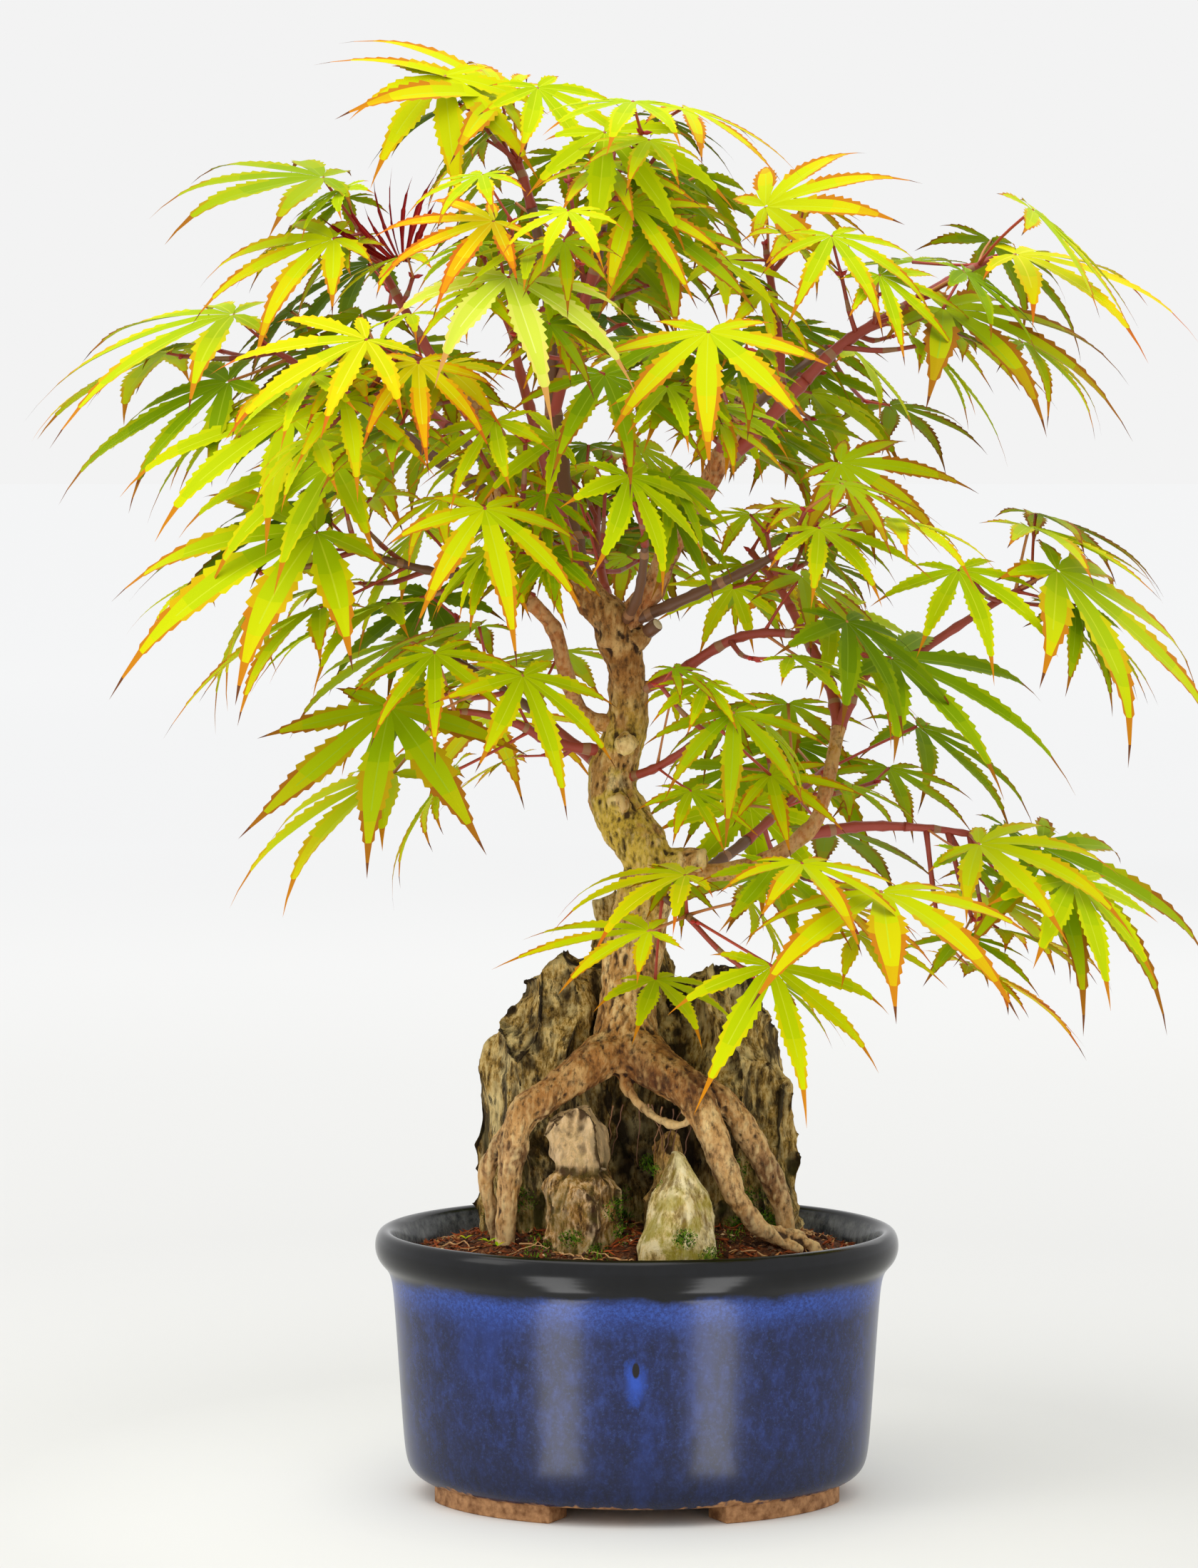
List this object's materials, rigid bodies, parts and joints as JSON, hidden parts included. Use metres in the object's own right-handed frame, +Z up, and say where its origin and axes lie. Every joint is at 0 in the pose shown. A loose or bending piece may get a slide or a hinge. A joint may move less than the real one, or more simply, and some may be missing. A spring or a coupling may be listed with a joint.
{
  "type": "potted japanese maple bonsai",
  "caption": "Potted Japanese maple bonsai grown over a rock: curved trunk, clasping roots, spreading boughs and lobed leaves, in an oval glazed pot on low feet.",
  "frame": {"origin": "on the ground under the middle of the whole plant and pot", "axes": "+Z up, +Y to the back, +X to the right as seen from the front"},
  "size_m": [0.3626, 0.2414, 0.4479],
  "materials": {
    "glaze": "high gloss mottled cobalt blue glaze, near black on the rolled rim, bare brown clay on the feet",
    "soil": "damp red-brown grit, bark crumbs and fine pale roots",
    "rock": "rough weathered grey-brown rock with ochre edges",
    "pale_stone": "pale cream stone with thin yellow-green moss",
    "bark": "rough fine-scaled brown bark with cream and olive patches",
    "leaf_lime": "thin matt leaves, lime green with rust edges",
    "leaf_green": "thin matt leaves, mid green",
    "leaf_yellow": "thin matt leaves, yellow with orange edges",
    "leaf_pale_leaf": "thin matt leaves, pale green"
  },
  "bodies": {
    "root": {"stone_pale": "pale_stone", "rock_front": "rock", "rock_middle": "rock", "rock_main": "rock", "pot": "glaze", "soil": "soil", "trunk": "bark", "bough_right": "bark", "bough_left_lower": "bark", "bough_left_riser": "bark", "bough_right_lower": "bark", "bough_top_left": "bark", "bough_top_right": "bark", "bough_upper_left": "bark", "bough_left_far": "bark", "bough_left_mid": "bark", "bough_centre_front": "bark", "bough_centre_low": "bark", "bough_right_upper": "bark", "bough_right_top_far": "bark", "bough_right_mid": "bark", "bough_right_far": "bark", "bough_right_low_mid": "bark", "bough_right_low_front": "bark", "bough_right_low_far": "bark", "bough_right_inner": "bark", "bough_back_left": "bark", "bough_back_middle": "bark", "bough_back_low_left": "bark", "bough_back_low_right": "bark", "foliage_top_left": "leaf_lime", "foliage_top_right": "leaf_lime", "foliage_upper_left": "leaf_lime", "foliage_left_far": "leaf_lime", "foliage_left_yellow": "leaf_yellow", "foliage_left_mid": "leaf_lime", "foliage_left_low": "leaf_lime", "foliage_centre_front": "leaf_pale_leaf", "foliage_centre_right": "leaf_lime", "foliage_centre_mid": "leaf_lime", "foliage_centre_low": "leaf_lime", "foliage_right_upper": "leaf_lime", "foliage_right_top_far": "leaf_lime", "foliage_right_mid": "leaf_lime", "foliage_right_far": "leaf_lime", "foliage_right_low_mid": "leaf_lime", "foliage_low_mid": "leaf_lime", "foliage_right_low_front": "leaf_lime", "foliage_right_low_far": "leaf_lime", "foliage_low_front": "leaf_lime", "foliage_right_inner": "leaf_lime", "foliage_back_top": "leaf_green", "foliage_back_left": "leaf_green", "foliage_back_right": "leaf_green", "foliage_back_middle": "leaf_green", "foliage_back_low_left": "leaf_green", "foliage_back_low_right": "leaf_green"}
  },
  "joints": []
}
